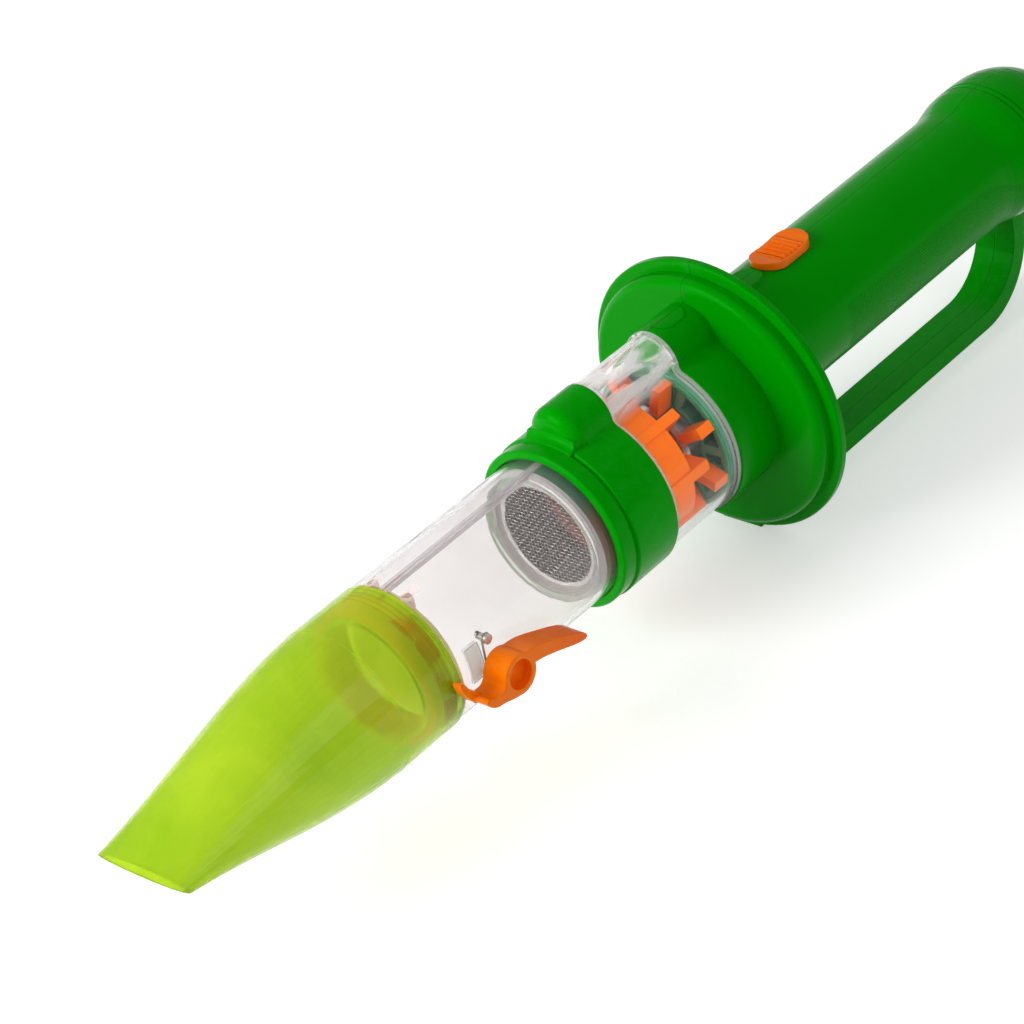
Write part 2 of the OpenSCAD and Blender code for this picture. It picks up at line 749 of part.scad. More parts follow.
module grip_solid() spun(grip_z) polygon([
    [0, rim_x],
    [grip_r, rim_x],
    [grip_r, pommel_x],
    for (t = [0.2:0.2:0.8]) [grip_r + pommel_rise * blend_share(t), pommel_x + (crest_x - pommel_x) * t],
    [pommel_r, crest_x],
    [pommel_r - groove_d, crest_x - groove_w / 2],
    [pommel_r, crest_x - groove_w],
    [pommel_r, crest_x - 2 * groove_w],
    [pommel_r - groove_d, crest_x - 2.5 * groove_w],
    [pommel_r, crest_x - 3 * groove_w],
    each arc(0, dome_x, pommel_r, dome_x - end_x, 0, -90, 12)
]);
// Finger dips under the grip
module grip_dipped() difference() {
    grip_solid();
    for (k = [0:2])
        pin(dip_r, dip_first - dip_pitch * k, grip_low + dip_depth - dip_r, -grip_r, grip_r);
}
module flange_solid() spun() polygon([
    [0, flange_x],
    each arc(plateau_r - flange_round, flange_x - flange_round, flange_round, flange_round, 90, 0, 10),
    [plateau_r, rim_x],
    [flange_r - rim_t / 6, rim_x],
    [flange_r, rim_x - rim_t / 6],
    [flange_r, back_x + rim_t / 6],
    [flange_r - rim_t / 6, back_x],
    [0, back_x]
]);
module guard_outline() polygon([
    [rim_x, guard_low],
    // Rear bend, outside, then the column up into the pommel
    each arc(bend_x, bend_z, guard_bend_r + guard_t, guard_bend_r + guard_t, 270, 180, 18),
    [guard_back, grip_z],
    [crest_x, grip_z],
    // Rear bend, inside, then the gusset behind the flange
    each arc(bend_x, bend_z, guard_bend_r, guard_bend_r, 180, 270, 18),
    each arc(back_x - gusset, guard_low + guard_t + gusset, gusset, gusset, 270, 360, 8),
    [rim_x, guard_low + guard_t + gusset]
]);
vent_n = 4;
vent_w = 2.2;
vent_pitch = 5.5;
vent_x1 = flange_x + shell_wall;
vent_x2 = rear_x - sleeve_len / 2 + tongue_t;
screw_boss_r = 3.4;
boss_x = [back_x - 2.65 * screw_boss_r, dome_x];
head_r = 2.6;
shank_r = 1.1;
small_head_r = 2.1;
slider_x = back_x - handle_len * 0.146;
stem_l = 5;
stem_w = 3;
land_w = 9;
land_rise = 0.8;
panel_w = 8;
panel_rise = 0.15;
module stadium(x1, x2, w) {
    translate([x1 + w / 2, 0]) circle(r = w / 2);
    translate([x2 - w / 2, 0]) circle(r = w / 2);
    translate([x1 + w / 2, -w / 2]) square([x2 - x1 - w, w]);
}
module upright(z1, z2) translate([0, 0, z1]) linear_extrude(z2 - z1) children();
module shell_solid() difference() {
    union() {
        difference() {
            union() {
                along(flange_x - over, rear_x) lobed(collar_r, lobe_r, lobe_fill);
                // Low raised panel on the lobe
                intersection() {
                    bar(lobe_r + panel_rise, flange_x, rear_x, lobe_h);
                    upright(lobe_h, lobe_h + 2 * lobe_r) stadium(flange_x + panel_w / 4, rear_x - panel_w / 4, panel_w);
                }
                flange_solid();
                grip_dipped();
                // Flat land between the flange and the switch
                upright(grip_z, grip_z + grip_r + land_rise) stadium(slider_x + 2 * gap, rim_x, land_w);
                across(-guard_w / 2, guard_w / 2) guard_outline();
                pin(eye_r, eye_x, eye_z, -eye_t / 2, eye_t / 2);
                block([eye_x, -eye_t / 2, eye_z - eye_r], [guard_back + eps, eye_t / 2, grip_z - pommel_r * 0.8]);
            }
            bar(chamber_in_r, cavity_x, rear_x + over);
            bar(motor_r + gap, motor_back - cap_len - gap, cavity_x + over);
            bar(cavity_r, cavity_end, cavity_x + over, grip_z);
        }
        for (x = boss_x) pin(screw_boss_r, x, grip_z, over - grip_r, grip_r - over);
    }
    pin(eye_hole_r, eye_x, eye_z, -guard_w, guard_w);
    // Air vents under the rear collar
    for (k = [0:vent_n - 1])
        block([vent_x1, (k - (vent_n - 1) / 2) * vent_pitch - vent_w / 2, -collar_r - over],
            [vent_x2, (k - (vent_n - 1) / 2) * vent_pitch + vent_w / 2, 0]);
    // Slot for the switch
    upright(grip_z, grip_z + 2 * grip_r) translate([slider_x - slider_len / 2 - stem_l / 2 - slider_travel - gap, -stem_w / 2 - gap])
        square([stem_l + slider_travel + 2 * gap, stem_w + 2 * gap]);
}
// Screws: place, height, seat of the head and reach into the left shell
guard_mid = guard_low + guard_t / 2;
seat_y = grip_r * 0.55;
small_seat_y = guard_w / 2 - 2;
flange_screw_z = flange_r * 0.78;
screws = [
    [boss_x[0], grip_z, seat_y, grip_r - shell_wall - shank_r, head_r],
    [boss_x[1], grip_z, seat_y, grip_r - shell_wall - shank_r, head_r],
    [bend_x + guard_bend_r, guard_mid, small_seat_y, small_seat_y, small_head_r],
    [back_x - 2 * guard_bend_r, guard_mid, small_seat_y, small_seat_y, small_head_r]
];
head_h = 1.6;
module screw_holes() for (s = screws) {
    pin(s[4] + gap, s[0], s[1], -2 * grip_r, -s[2]);
    pin(shank_r + run_gap, s[0], s[1], -s[2] - over, s[3] + shank_r);
}
module left_shell() place() color(leaf) difference() {
    shell_solid();
    block([end_x - over, -flange_r - over, -flange_r - over], [rear_x + 2 * over, seam / 2, flange_r + over]);
    screw_holes();
}
module right_shell() place() color(leaf) difference() {
    shell_solid();
    block([end_x - over, -seam / 2, -flange_r - over], [rear_x + 2 * over, flange_r + over, flange_r + over]);
    screw_holes();
    block([door_x2 - gap, -2 * grip_r, grip_z - door_half - gap], [door_x1 + gap, -door_in, grip_z + door_half + gap]);
}
drive_w = 0.7;
drive_d = 0.8;
module shell_screws() place() color(steel) for (s = screws) difference() {
    union() {
        pin(s[4], s[0], s[1], -s[2] - head_h, -s[2]);
        pin(shank_r, s[0], s[1], -s[2] - eps, s[3]);
    }
    block([s[0] - s[4], -s[2] - 2 * head_h, s[1] - drive_w / 2], [s[0] + s[4], -s[2] - head_h + drive_d, s[1] + drive_w / 2]);
    block([s[0] - drive_w / 2, -s[2] - 2 * head_h, s[1] - s[4]], [s[0] + drive_w / 2, -s[2] - head_h + drive_d, s[1] + s[4]]);
}

// Switch: a ridged slider that rides on the handle's top and the switch under it
slider_z = grip_z + grip_r + gap;
slider_top = grip_z + grip_r + slider_h;
pad_r = 36;
pad_sink = 1;
ridge_n = 6;
ridge_w = 0.8;
ridge_pitch = 1.9;
body_z = grip_z + cavity_r - 1.1;
module switch_slider() place() color(orange) union() {
    difference() {
        union() {
            difference() {
                upright(grip_z, slider_top) stadium(slider_x - slider_len, slider_x, slider_w);
                pin(pad_r, slider_x - slider_len / 2, slider_top + pad_r - pad_sink, -slider_w / 2 - over, slider_w / 2 + over);
            }
            // Ridges across the thumb pad
            intersection() {
                upright(grip_z, slider_top - pad_sink / 3) stadium(slider_x - slider_len + ridge_w, slider_x - ridge_w, slider_w - 3 * ridge_w);
                for (k = [0:ridge_n - 1]) let (x = slider_x - slider_len / 2 + (k - (ridge_n - 1) / 2) * ridge_pitch)
                    block([x - ridge_w / 2, -slider_w, grip_z], [x + ridge_w / 2, slider_w, slider_top]);
            }
        }
        // Its underside follows the grip
        bar(grip_r + gap, slider_x - slider_len - over, slider_x + over, grip_z);
    }
    // Stem through the slot
    block([slider_x - slider_len / 2 - stem_l / 2, -stem_w / 2, body_z + gap], [slider_x - slider_len / 2 + stem_l / 2, stem_w / 2, slider_z + gap]);
}
switch_half_w = 4;
switch_h = 6;
module switch_body() place() color(dark) union() {
    block([slider_x - slider_len, -switch_half_w, body_z - switch_h], [slider_x, switch_half_w, body_z]);
    for (s = [-1, 1])
        block([slider_x - slider_len / 2 - tab_w / 2 + s * tab_len, -tab_t / 2, body_z - switch_h - tab_len],
            [slider_x - slider_len / 2 + tab_w / 2 + s * tab_len, tab_t / 2, body_z - switch_h + eps]);
}

// Batteries: two cells one above the other in a tray, with contacts at both ends
tip_r = 2.7;
tip_len = 1.2;
plate_t = 0.5;
coil_len = 5.5;
tray_wall = 2;
cell_rise = cell_r + gap;
bay_len = cell_len + tip_len + coil_len + 2 * plate_t + gap;
bay_x1 = slider_x - slider_len - handle_len * 0.0621;
bay_x2 = bay_x1 - bay_len;
tray_x1 = bay_x1 + tray_wall;
tray_x2 = bay_x2 - tray_wall;
tray_r = cavity_r - gap;
screw_x = tray_x1 + 3;
door_x1 = screw_x + 4;
door_x2 = tray_x2 - tray_wall;
door_lap = 5.4;
door_half = cell_r + door_lap;
door_in = 4;
module battery_tray() place() color(dark) difference() {
    union() {
        intersection() {
            bar(tray_r, tray_x2, tray_x1, grip_z);
            block([tray_x2, gap, -flange_r], [tray_x1, tray_r, flange_r]);
        }
        for (x = [tray_x2, bay_x1]) intersection() {
            bar(tray_r, x, x + tray_wall, grip_z);
            block([x, -cell_r, grip_z - tray_r], [x + tray_wall, tray_r, grip_z + tray_r]);
        }
        // Boss for the cover's screw
        pin(screw_boss_r, screw_x, grip_z, -cell_r, cell_r);
        block([tray_x1 - eps, -cell_r, grip_z - screw_boss_r / 2], [screw_x, cell_r, grip_z + screw_boss_r / 2]);
    }
    for (s = [-1, 1])
        bar(cell_r + gap / 2, bay_x2, bay_x1, grip_z + s * cell_rise);
    // Slots for the contact plates
    for (x = [bay_x2, bay_x1 - plate_t - gap])
        block([x, -cell_r - over, grip_z - cell_rise - plate_h - gap],
            [x + plate_t + gap, plate_h + gap, grip_z + cell_rise + plate_h + gap]);
    pin(shank_r + run_gap, screw_x, grip_z, -cell_r - over, cell_r - shell_wall);
}
module cell(x1, dir, z) {
    bar(cell_r, min(x1, x1 + dir * cell_len), max(x1, x1 + dir * cell_len), z);
    bar(tip_r, min(x1 + dir * cell_len, x1 + dir * (cell_len + tip_len)),
        max(x1 + dir * cell_len, x1 + dir * (cell_len + tip_len)), z);
}
module upper_cell() place() color("gray") cell(bay_x1 - plate_t - gap / 3 - tip_len - cell_len, 1, grip_z + cell_rise);
module lower_cell() place() color("gray") cell(bay_x2 + plate_t + gap / 3 + tip_len + cell_len, -1, grip_z - cell_rise);
plate_h = cell_r - 1;
module contact_plates() place() color(steel) union() {
    for (s = [-1, 1])
        block([bay_x1 - plate_t, -plate_h, grip_z + s * cell_rise - plate_h], [bay_x1, plate_h, grip_z + s * cell_rise + plate_h]);
    block([bay_x2, -plate_h, grip_z - cell_rise - plate_h], [bay_x2 + plate_t, plate_h, grip_z + cell_rise + plate_h]);
}
contact_wire = 0.35;
contact_turns = 3;
coil_r1 = 4.4;
coil_r2 = 2.6;
contact_gap = coil_len - 2 * contact_wire;
function contact_path(x, dir, z) = [
    for (i = [0:curl_rings * contact_turns])
        let (t = i / (curl_rings * contact_turns), a = 360 * i / curl_rings, r = coil_r1 + (coil_r2 - coil_r1) * t)
        [x + dir * (contact_wire + run_gap + (contact_gap - gap) * t), r * cos(a), z + r * sin(a)]
];
echo(contact_spring_gap = coil_gap(contact_path(0, 1, 0), contact_wire));
module contact_springs() place() color(steel) union() {
    wire(contact_path(bay_x2 + plate_t, 1, grip_z + cell_rise), contact_wire, [1, 0, 0]);
    wire(contact_path(bay_x1 - plate_t, -1, grip_z - cell_rise), contact_wire, [1, 0, 0]);
}

// Battery cover: a curved panel in the handle's far side, held by one screw
cover_seat = grip_r - 1.2;
module battery_cover() place() color(leaf) difference() {
    intersection() {
        spun(grip_z) polygon([[cavity_r, door_x2], [cavity_r, door_x1], [grip_r, door_x1], [grip_r, door_x2]]);
        block([door_x2, -grip_r, grip_z - door_half], [door_x1, 0, grip_z + door_half]);
    }
    pin(small_head_r + gap, screw_x, grip_z, -grip_r - over, -cover_seat);
    pin(shank_r + run_gap, screw_x, grip_z, -grip_r, 0);
}
module cover_screw() place() color(steel) difference() {
    union() {
        pin(small_head_r, screw_x, grip_z, -grip_r, -cover_seat);
        pin(shank_r, screw_x, grip_z, -cover_seat - eps, cell_r - 2 * shell_wall);
    }
    block([screw_x - head_r, -grip_r - over, grip_z - drive_w / 2], [screw_x + head_r, -grip_r + drive_d, grip_z + drive_w / 2]);
}

nozzle();
capture_tube();
coupling_ring();
trap_flap();
latch_lever();
latch_spring();
stop_pin();
filter_frame();
filter_mesh();
filter_retainer();
tube_seal();
front_collar();
fan_chamber();
impeller();
motor_shaft();
motor_can();
motor_cap();
motor_mount();
stator_vanes();
left_shell();
right_shell();
shell_screws();
switch_slider();
switch_body();
battery_tray();
upper_cell();
lower_cell();
contact_plates();
contact_springs();
battery_cover();
cover_screw();
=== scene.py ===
import bpy
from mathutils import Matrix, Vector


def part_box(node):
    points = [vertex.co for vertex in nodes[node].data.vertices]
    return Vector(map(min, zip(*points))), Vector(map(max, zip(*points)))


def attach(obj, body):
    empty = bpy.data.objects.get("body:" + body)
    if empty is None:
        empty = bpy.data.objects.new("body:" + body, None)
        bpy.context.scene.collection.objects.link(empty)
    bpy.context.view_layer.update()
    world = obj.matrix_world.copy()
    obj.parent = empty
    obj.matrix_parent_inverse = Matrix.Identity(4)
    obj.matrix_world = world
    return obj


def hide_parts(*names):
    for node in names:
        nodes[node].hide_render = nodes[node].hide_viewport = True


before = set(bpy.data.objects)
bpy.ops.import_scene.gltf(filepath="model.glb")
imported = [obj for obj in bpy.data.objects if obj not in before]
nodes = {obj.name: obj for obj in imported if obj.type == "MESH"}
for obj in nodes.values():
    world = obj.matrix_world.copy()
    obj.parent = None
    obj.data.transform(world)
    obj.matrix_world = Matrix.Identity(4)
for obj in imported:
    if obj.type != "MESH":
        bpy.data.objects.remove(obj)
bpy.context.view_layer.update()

import bpy
import math
import numpy as np
from mathutils import Matrix, Vector

scene = bpy.context.scene
MM = 0.001
WHITE = (1, 1, 1)

# The tool's own millimetres, as in its source: x runs forward along the tube from 0 at its
# rim, y to the latch's side and z up. The frame has the tool's middle over its origin and the
# flange's lowest point at 0.
MID_X, BASE_Z = -99.9, -43.0
REACH = 30  # Farther from the axis than any clear piece but the chamber's lobe
LOBE_TOP = 36
GRIP_Z = 6.5


def at(x, y, z):
    """A point in the tool's own millimetres, as a point of the frame in metres."""
    return ((x - MID_X) * MM, y * MM, (z - BASE_Z) * MM)


def along(x):
    """A place along the tool, as the frame's x."""
    return at(x, 0, 0)[0]


def height(z):
    """A height in the tool's own millimetres, as the frame's z."""
    return at(0, 0, z)[2]


# ---------------------------------------------------------------- camera
# Solved from the photograph: the camera's own axes, its place in metres and its lens
RIGHT, BACK = (-0.6479, 0.7328, -0.2080), (0.5483, 0.6381, 0.5405)
PLACE = (0.53987, 0.56985, 0.53984)
LENS, SENSOR = 119.44, 36

back = Vector(BACK).normalized()
up = back.cross(Vector(RIGHT).normalized()).normalized()
right = up.cross(back).normalized()
cam = bpy.data.objects.new("camera", bpy.data.cameras.new("camera"))
scene.collection.objects.link(cam)
cam.data.sensor_fit = "HORIZONTAL"
cam.data.sensor_width = SENSOR
cam.data.lens = LENS
cam.data.clip_start, cam.data.clip_end = 0.05, 50
look = Matrix((right, up, back)).transposed().to_4x4()
look.translation = Vector(PLACE)
cam.matrix_world = look
scene.camera = cam


# ---------------------------------------------------------------- node trees
class Tree:
    """Adds shader nodes to a node tree and links them."""

    def __init__(self, tree):
        self.tree = tree
        self.tree.nodes.clear()

    def put(self, socket, value):
        """Links an output to a socket, or sets the socket's own value."""
        if isinstance(value, bpy.types.NodeSocket):
            self.tree.links.new(value, socket)
        elif isinstance(value, tuple) and len(value) == 3 and socket.type == "RGBA":
            socket.default_value = (*value, 1)
        else:
            socket.default_value = value

    def node(self, kind, inputs=None, **props):
        n = self.tree.nodes.new(kind)
        for k, v in props.items():
            setattr(n, k, v)
        for k, v in (inputs or {}).items():
            self.put(n.inputs[k], v)
        return n

    def math(self, op, a, b=0.0):
        return self.node("ShaderNodeMath", {0: a, 1: b}, operation=op).outputs[0]

    def plus(self, a, b):
        return self.math("ADD", a, b)

    def minus(self, a, b):
        return self.math("SUBTRACT", a, b)

    def times(self, a, b):
        return self.math("MULTIPLY", a, b)

    def most(self, a, b):
        return self.math("MAXIMUM", a, b)

    def below(self, a, b):
        return self.math("LESS_THAN", a, b)

    def hypot(self, a, b):
        return self.math("SQRT", self.plus(self.times(a, a), self.times(b, b)))

    def span(self, v, a, b, to_a=0.0, to_b=1.0):
        """Maps a to b onto to_a to to_b, and holds those beyond."""
        return self.node("ShaderNodeMapRange", {
            "Value": v, "From Min": a, "From Max": b, "To Min": to_a, "To Max": to_b},
            clamp=True).outputs[0]

    def noise(self, co, scale, detail=2.0, rough=0.5, distort=0.0):
        return self.node("ShaderNodeTexNoise", {
            "Vector": co, "Scale": scale, "Detail": detail, "Roughness": rough,
            "Distortion": distort}).outputs["Fac"]

    def mix(self, fac, a, b):
        n = self.node("ShaderNodeMix", data_type="RGBA")
        self.put(n.inputs["Factor"], fac)
        self.put(n.inputs["A"], a)
        self.put(n.inputs["B"], b)
        return n.outputs["Result"]

    def scaled(self, co, v):
        return self.node("ShaderNodeVectorMath", {0: co, 1: v}, operation="MULTIPLY").outputs[0]

    def parts(self, co):
        """The x, y and z of a point."""
        return self.node("ShaderNodeSeparateXYZ", {0: co}).outputs

    def bump(self, rise, strength, distance, normal=None):
        n = self.node("ShaderNodeBump", {
            "Height": rise, "Strength": strength, "Distance": distance})
        if normal is not None:
            self.put(n.inputs["Normal"], normal)
        return n.outputs[0]


def start(name):
    """A new material, its tree, and the place of a point in the frame."""
    m = bpy.data.materials.new(name)
    m.use_nodes = True
    t = Tree(m.node_tree)
    return m, t, t.node("ShaderNodeTexCoord").outputs["Object"]


def close(m, t, shader, through=None):
    """Ends a material. With through, lamps shine through it, tinted by that colour."""
    out = t.node("ShaderNodeOutputMaterial")
    if through:
        ray = t.node("ShaderNodeLightPath").outputs["Is Shadow Ray"]
        clear = t.node("ShaderNodeBsdfTransparent", {"Color": through}).outputs[0]
        shader = t.node("ShaderNodeMixShader", {0: ray, 1: shader, 2: clear}).outputs[0]
    t.put(out.inputs[0], shader)
    return m


# ---------------------------------------------------------------- kinds of material
def edges(t, co):
    """Worn convex edges, broken up by noise."""
    point = t.node("ShaderNodeNewGeometry").outputs["Pointiness"]
    worn = t.span(point, 0.505, 0.6)
    spots = t.span(t.noise(co, 240, 4, 0.7), 0.4, 0.7)
    return t.times(worn, spots)


def plastic(name, dark, light, worn, rough=(0.26, 0.4), level=0.35, tint=WHITE, dots=None,
            wear=0.35, radius=0.0, ior=1.5, extra=None):
    """Moulded plastic: colour drift, fine grain, scuffs and pale edges, shaded as if rounded
    by radius mm. dots gives a raised pattern and its field, extra paints the colour."""
    m, t, co = start(name)
    drift = t.span(t.noise(co, 22, 3, 0.55, 0.4), 0.3, 0.7)
    colour = t.mix(drift, dark, light)
    colour = t.mix(t.times(edges(t, co), wear), colour, worn)
    if extra:
        colour = extra(t, co, colour)
    fine = t.noise(co, 2600, 2, 0.6)
    wave = t.noise(co, 120, 2, 0.5)
    scuff = t.span(t.noise(t.scaled(co, (60, 900, 420)), 1.0, 3, 0.6, 0.6), 0.56, 0.75)
    matt = t.span(t.plus(t.times(wave, 0.7), t.times(scuff, 0.3)), 0.25, 0.75, *rough)
    soft = None
    if radius:
        soft = t.node("ShaderNodeBevel", {"Radius": radius * MM}, samples=6).outputs[0]
    normal = t.bump(fine, 0.0625, 0.06 * MM, soft)
    normal = t.bump(wave, 0.05, 0.5 * MM, normal)
    if dots:
        rise, field = dots(t, co)
        normal = t.bump(rise, 0.55, 0.22 * MM, normal)
        colour = t.mix(t.times(field, 0.3), colour, tuple(c * 0.7 for c in dark))
        matt = t.plus(matt, t.times(field, 0.16))
    bsdf = t.node("ShaderNodeBsdfPrincipled", {
        "Base Color": colour, "Roughness": matt, "Normal": normal, "IOR": ior,
        "Specular IOR Level": level, "Specular Tint": tint})
    return close(m, t, bsdf.outputs[0])


def glassy(name, colour_a, colour_b, weight, rough, ior, through=(0.93, 0.93, 0.93), streaks=0.2,
           level=0.5, extra=None):
    """Clear or tinted moulded plastic with faint flow lines and smudges. extra paints the
    colour and takes some of the clearness, weight."""
    m, t, co = start(name)
    drift = t.span(t.noise(co, 30, 3, 0.55, 0.8), 0.3, 0.7)
    smudge = t.span(t.noise(co, 70, 4, 0.6, 0.5), 0.45, 0.75)
    flow = t.noise(t.scaled(co, (25, 130, 130)), 1.0, 2, 0.5, 0.4)
    colour = t.mix(drift, colour_a, colour_b)
    if extra:
        colour, weight = extra(t, co, colour, weight)
    bsdf = t.node("ShaderNodeBsdfPrincipled", {
        "Base Color": colour, "Roughness": t.span(smudge, 0.0, 1.0, *rough),
        "Normal": t.bump(flow, streaks, 0.6 * MM),
        "IOR": ior, "Transmission Weight": weight, "Specular IOR Level": level})
    return close(m, t, bsdf.outputs[0], through)


def metal(name, colour_a, colour_b, rough, grain=(900, 60, 60), brushed=0.25):
    """Drawn or plated metal with fine lines along one direction."""
    m, t, co = start(name)
    lines = t.noise(t.scaled(co, grain), 1.0, 4, 0.65)
    patch = t.noise(co, 90, 3, 0.6)
    bsdf = t.node("ShaderNodeBsdfPrincipled", {
        "Base Color": t.mix(patch, colour_a, colour_b), "Metallic": 1.0,
        "Roughness": t.span(lines, 0.3, 0.7, *rough),
        "Normal": t.bump(lines, brushed, 0.08 * MM)})
    return close(m, t, bsdf.outputs[0])


# ---------------------------------------------------------------- marks on single pieces
def inside(t, co, box, edge):
    """1 within a box of the tool's own millimetres, falling to 0 over edge on either side."""
    low, high = at(*box[0]), at(*box[1])
    mask = None
    for part, a, b in zip(t.parts(co), low, high):
        for place, way in ((a, 1), (b, -1)):
            step = t.span(part, place - way * edge * MM, place + way * edge * MM)
            mask = step if mask is None else t.times(mask, step)
    return mask


def slice_of(x0, x1, top=REACH):
    """A box across the whole tool, from x0 to x1."""
    return (x0, -REACH, -REACH), (x1, REACH, top)


def radial(t, co):
    """The place along the tool, the height over its axis and the distance from it."""
    x, y, z = t.parts(co)
    dz = t.minus(z, height(0))
    return x, dz, t.hypot(y, dz)


def tube_marks(t, co, colour, weight):
    """The tube's frosted panel, its greyer rib and hinge lugs, and a warm line by its rim."""
    panel = inside(t, co, ((-9.4, 18.5, -4.1), (-4.6, 24, 6.1)), 0.15)
    rib = inside(t, co, ((-66, -0.7, 18.5), (0, 0.7, 23)), 0.1)
    lugs = t.most(inside(t, co, ((-7, 4.8, 14), (-0.2, 7.2, 20.6)), 0.1),
                  inside(t, co, ((-7, -7.2, 14), (-0.2, -4.8, 20.6)), 0.1))
    line = inside(t, co, slice_of(-1.3, -0.5), 0.1)
    for mask, tone, much, less in (
            (panel, (0.76, 0.77, 0.74), 0.8, 0.42), (rib, (0.6, 0.56, 0.57), 0.9, 0.3),
            (lugs, (0.92, 0.76, 0.72), 0.9, 0.4), (line, (1.0, 0.66, 0.56), 0.8, 0.3)):
        colour = t.mix(t.times(mask, much), colour, tone)
        weight = t.minus(weight, t.times(mask, less))
    return colour, weight


def rim_lines(t, co, colour, weight):
    """Faint rings beside the nozzle's rim, where it is also clearer in patches."""
    pitch = 1.6 * MM
    near = inside(t, co, slice_of(0.4, 7), 0.4)
    wave = t.math("SINE", t.times(t.parts(co)[0], 2 * math.pi / pitch))
    ring = t.times(near, t.span(wave, 0.55, 0.85))
    patch = t.noise(t.scaled(co, (30, 90, 90)), 1.0, 2, 0.5, 0.3)
    spots = t.times(near, t.span(patch, 0.46, 0.56))
    colour = t.mix(t.times(ring, 0.45), colour, (0.22, 0.42, 0.003))
    return colour, t.plus(weight, t.times(spots, 0.24))


def ring_green(t, co, colour):
    """The ring that carries the vanes is dark green."""
    ring_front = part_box("stator_vanes")[0][0] + 1.1 * MM
    return t.mix(t.below(t.parts(co)[0], ring_front), colour, (0.045, 0.24, 0.11))


def collar_bore_shade(t, co, colour):
    """The air's bore is painted near black as shade, and the socket round the fan is painted
    dark green as shade.
    """
    x, _, radius = radial(t, co)
    socket = t.times(t.below(x, along(-78.4)), t.below(radius, 21.4 * MM))
    hollow_shade = t.most(socket, t.below(radius, 16.3 * MM))
    # Painted shade: near black in the bore, dark green in the socket round the fan.
    return t.mix(hollow_shade, colour, t.mix(socket, (0.03, 0.04, 0.03), (0.04, 0.13, 0.08)))


def lobe_streaks_and_rim_highlights(t, co, colour, weight):
    """White streaks along the chamber's lobe, and a painted highlight in white at both its rims.
    """
    lobe = inside(t, co, ((-114, -12, 23.5), (-83, 12, LOBE_TOP)), 2.0)
    swirl = t.noise(t.scaled(co, (50, 190, 230)), 1.0, 2, 0.5, 0.9)
    mark = t.times(lobe, t.span(swirl, 0.45, 0.58, 0.1, 1.0))
    # Painted highlight: both rims are painted white and made less clear.
    rim_highlights = t.most(inside(t, co, slice_of(-113, -111.2, LOBE_TOP), 0.1),
                  inside(t, co, slice_of(-85.3, -83.5, LOBE_TOP), 0.1))
    mark = t.most(t.times(mark, 0.75), t.times(rim_highlights, 0.5))
    return t.mix(mark, colour, (0.93, 0.9, 0.89)), t.minus(weight, mark)


def frame_entry_shade(t, co, colour, weight):
    """The filter frame's outer wall is painted with shade where it enters the collar, greener on
    top.
    """
    x, dz, radius = radial(t, co)
    entry, soft = along(-59.2), 0.2 * MM
    mask = t.times(t.span(x, entry + soft, entry - soft), t.span(radius, 19.4 * MM, 19.8 * MM))
    # Painted shade: dark brown low on the wall, dark green on top.
    tone = t.mix(t.span(dz, 9 * MM, 15 * MM), (0.11, 0.035, 0.01), (0.012, 0.085, 0.035))
    return t.mix(mask, colour, tone), t.minus(weight, t.times(mask, 0.82))


def grip_dots(t, co):
    """A fine raised dot pattern on the grip's lower side, in staggered rows along the grip,
    and the field that it covers, under a line that falls away towards the pommel."""
    x, y, z = t.parts(co)
    dz = t.minus(z, height(GRIP_Z))
    pitch, row_gap = 0.95 * MM, 0.866
    u = t.math("DIVIDE", x, pitch)
    v = t.math("DIVIDE", t.times(t.math("ARCTAN2", dz, y), 19.2 * MM), pitch * row_gap)
    shift = t.times(t.math("MODULO", t.math("FLOOR", v), 2.0), 0.5)
    du = t.minus(t.math("FRACT", t.plus(u, shift)), 0.5)
    dv = t.times(t.minus(t.math("FRACT", v), 0.5), row_gap)
    dot = t.span(t.hypot(du, dv), 0.12, 0.34, 1.0, 0.0)

    front_x, bend_x, rear_x = along(-172), along(-239), along(-258)
    fall = t.times(t.math("POWER", t.span(x, bend_x, rear_x), 1.6), 8.5 * MM)
    top = t.minus(height(11), fall)
    soft = 0.25 * MM
    low = t.span(z, t.plus(top, soft), t.minus(top, soft))
    front = t.span(x, front_x + 0.3 * MM, front_x - 0.3 * MM)
    rear = t.span(x, rear_x - 0.3 * MM, rear_x + 0.3 * MM)
    radius = t.hypot(dz, y)
    skin = t.times(t.math("GREATER_THAN", radius, 17.6 * MM), t.below(radius, 20.5 * MM))
    field = t.times(t.times(low, skin), t.times(front, rear))
    return t.times(dot, field), field


# ---------------------------------------------------------------- materials
GREEN = dict(worn=(0.02, 0.38, 0.03), wear=0.25, level=0.13, tint=(0.05, 1.0, 0.1),
             rough=(0.2, 0.3), ior=1.4)
ORANGE = dict(dark=(0.92, 0.13, 0.0), light=(0.98, 0.18, 0.0), worn=(1.0, 0.34, 0.02),
              level=0.35, tint=(1.0, 0.6, 0.2), rough=(0.18, 0.3), ior=1.45)
CLEAR_ROUGH = (0.01, 0.06)

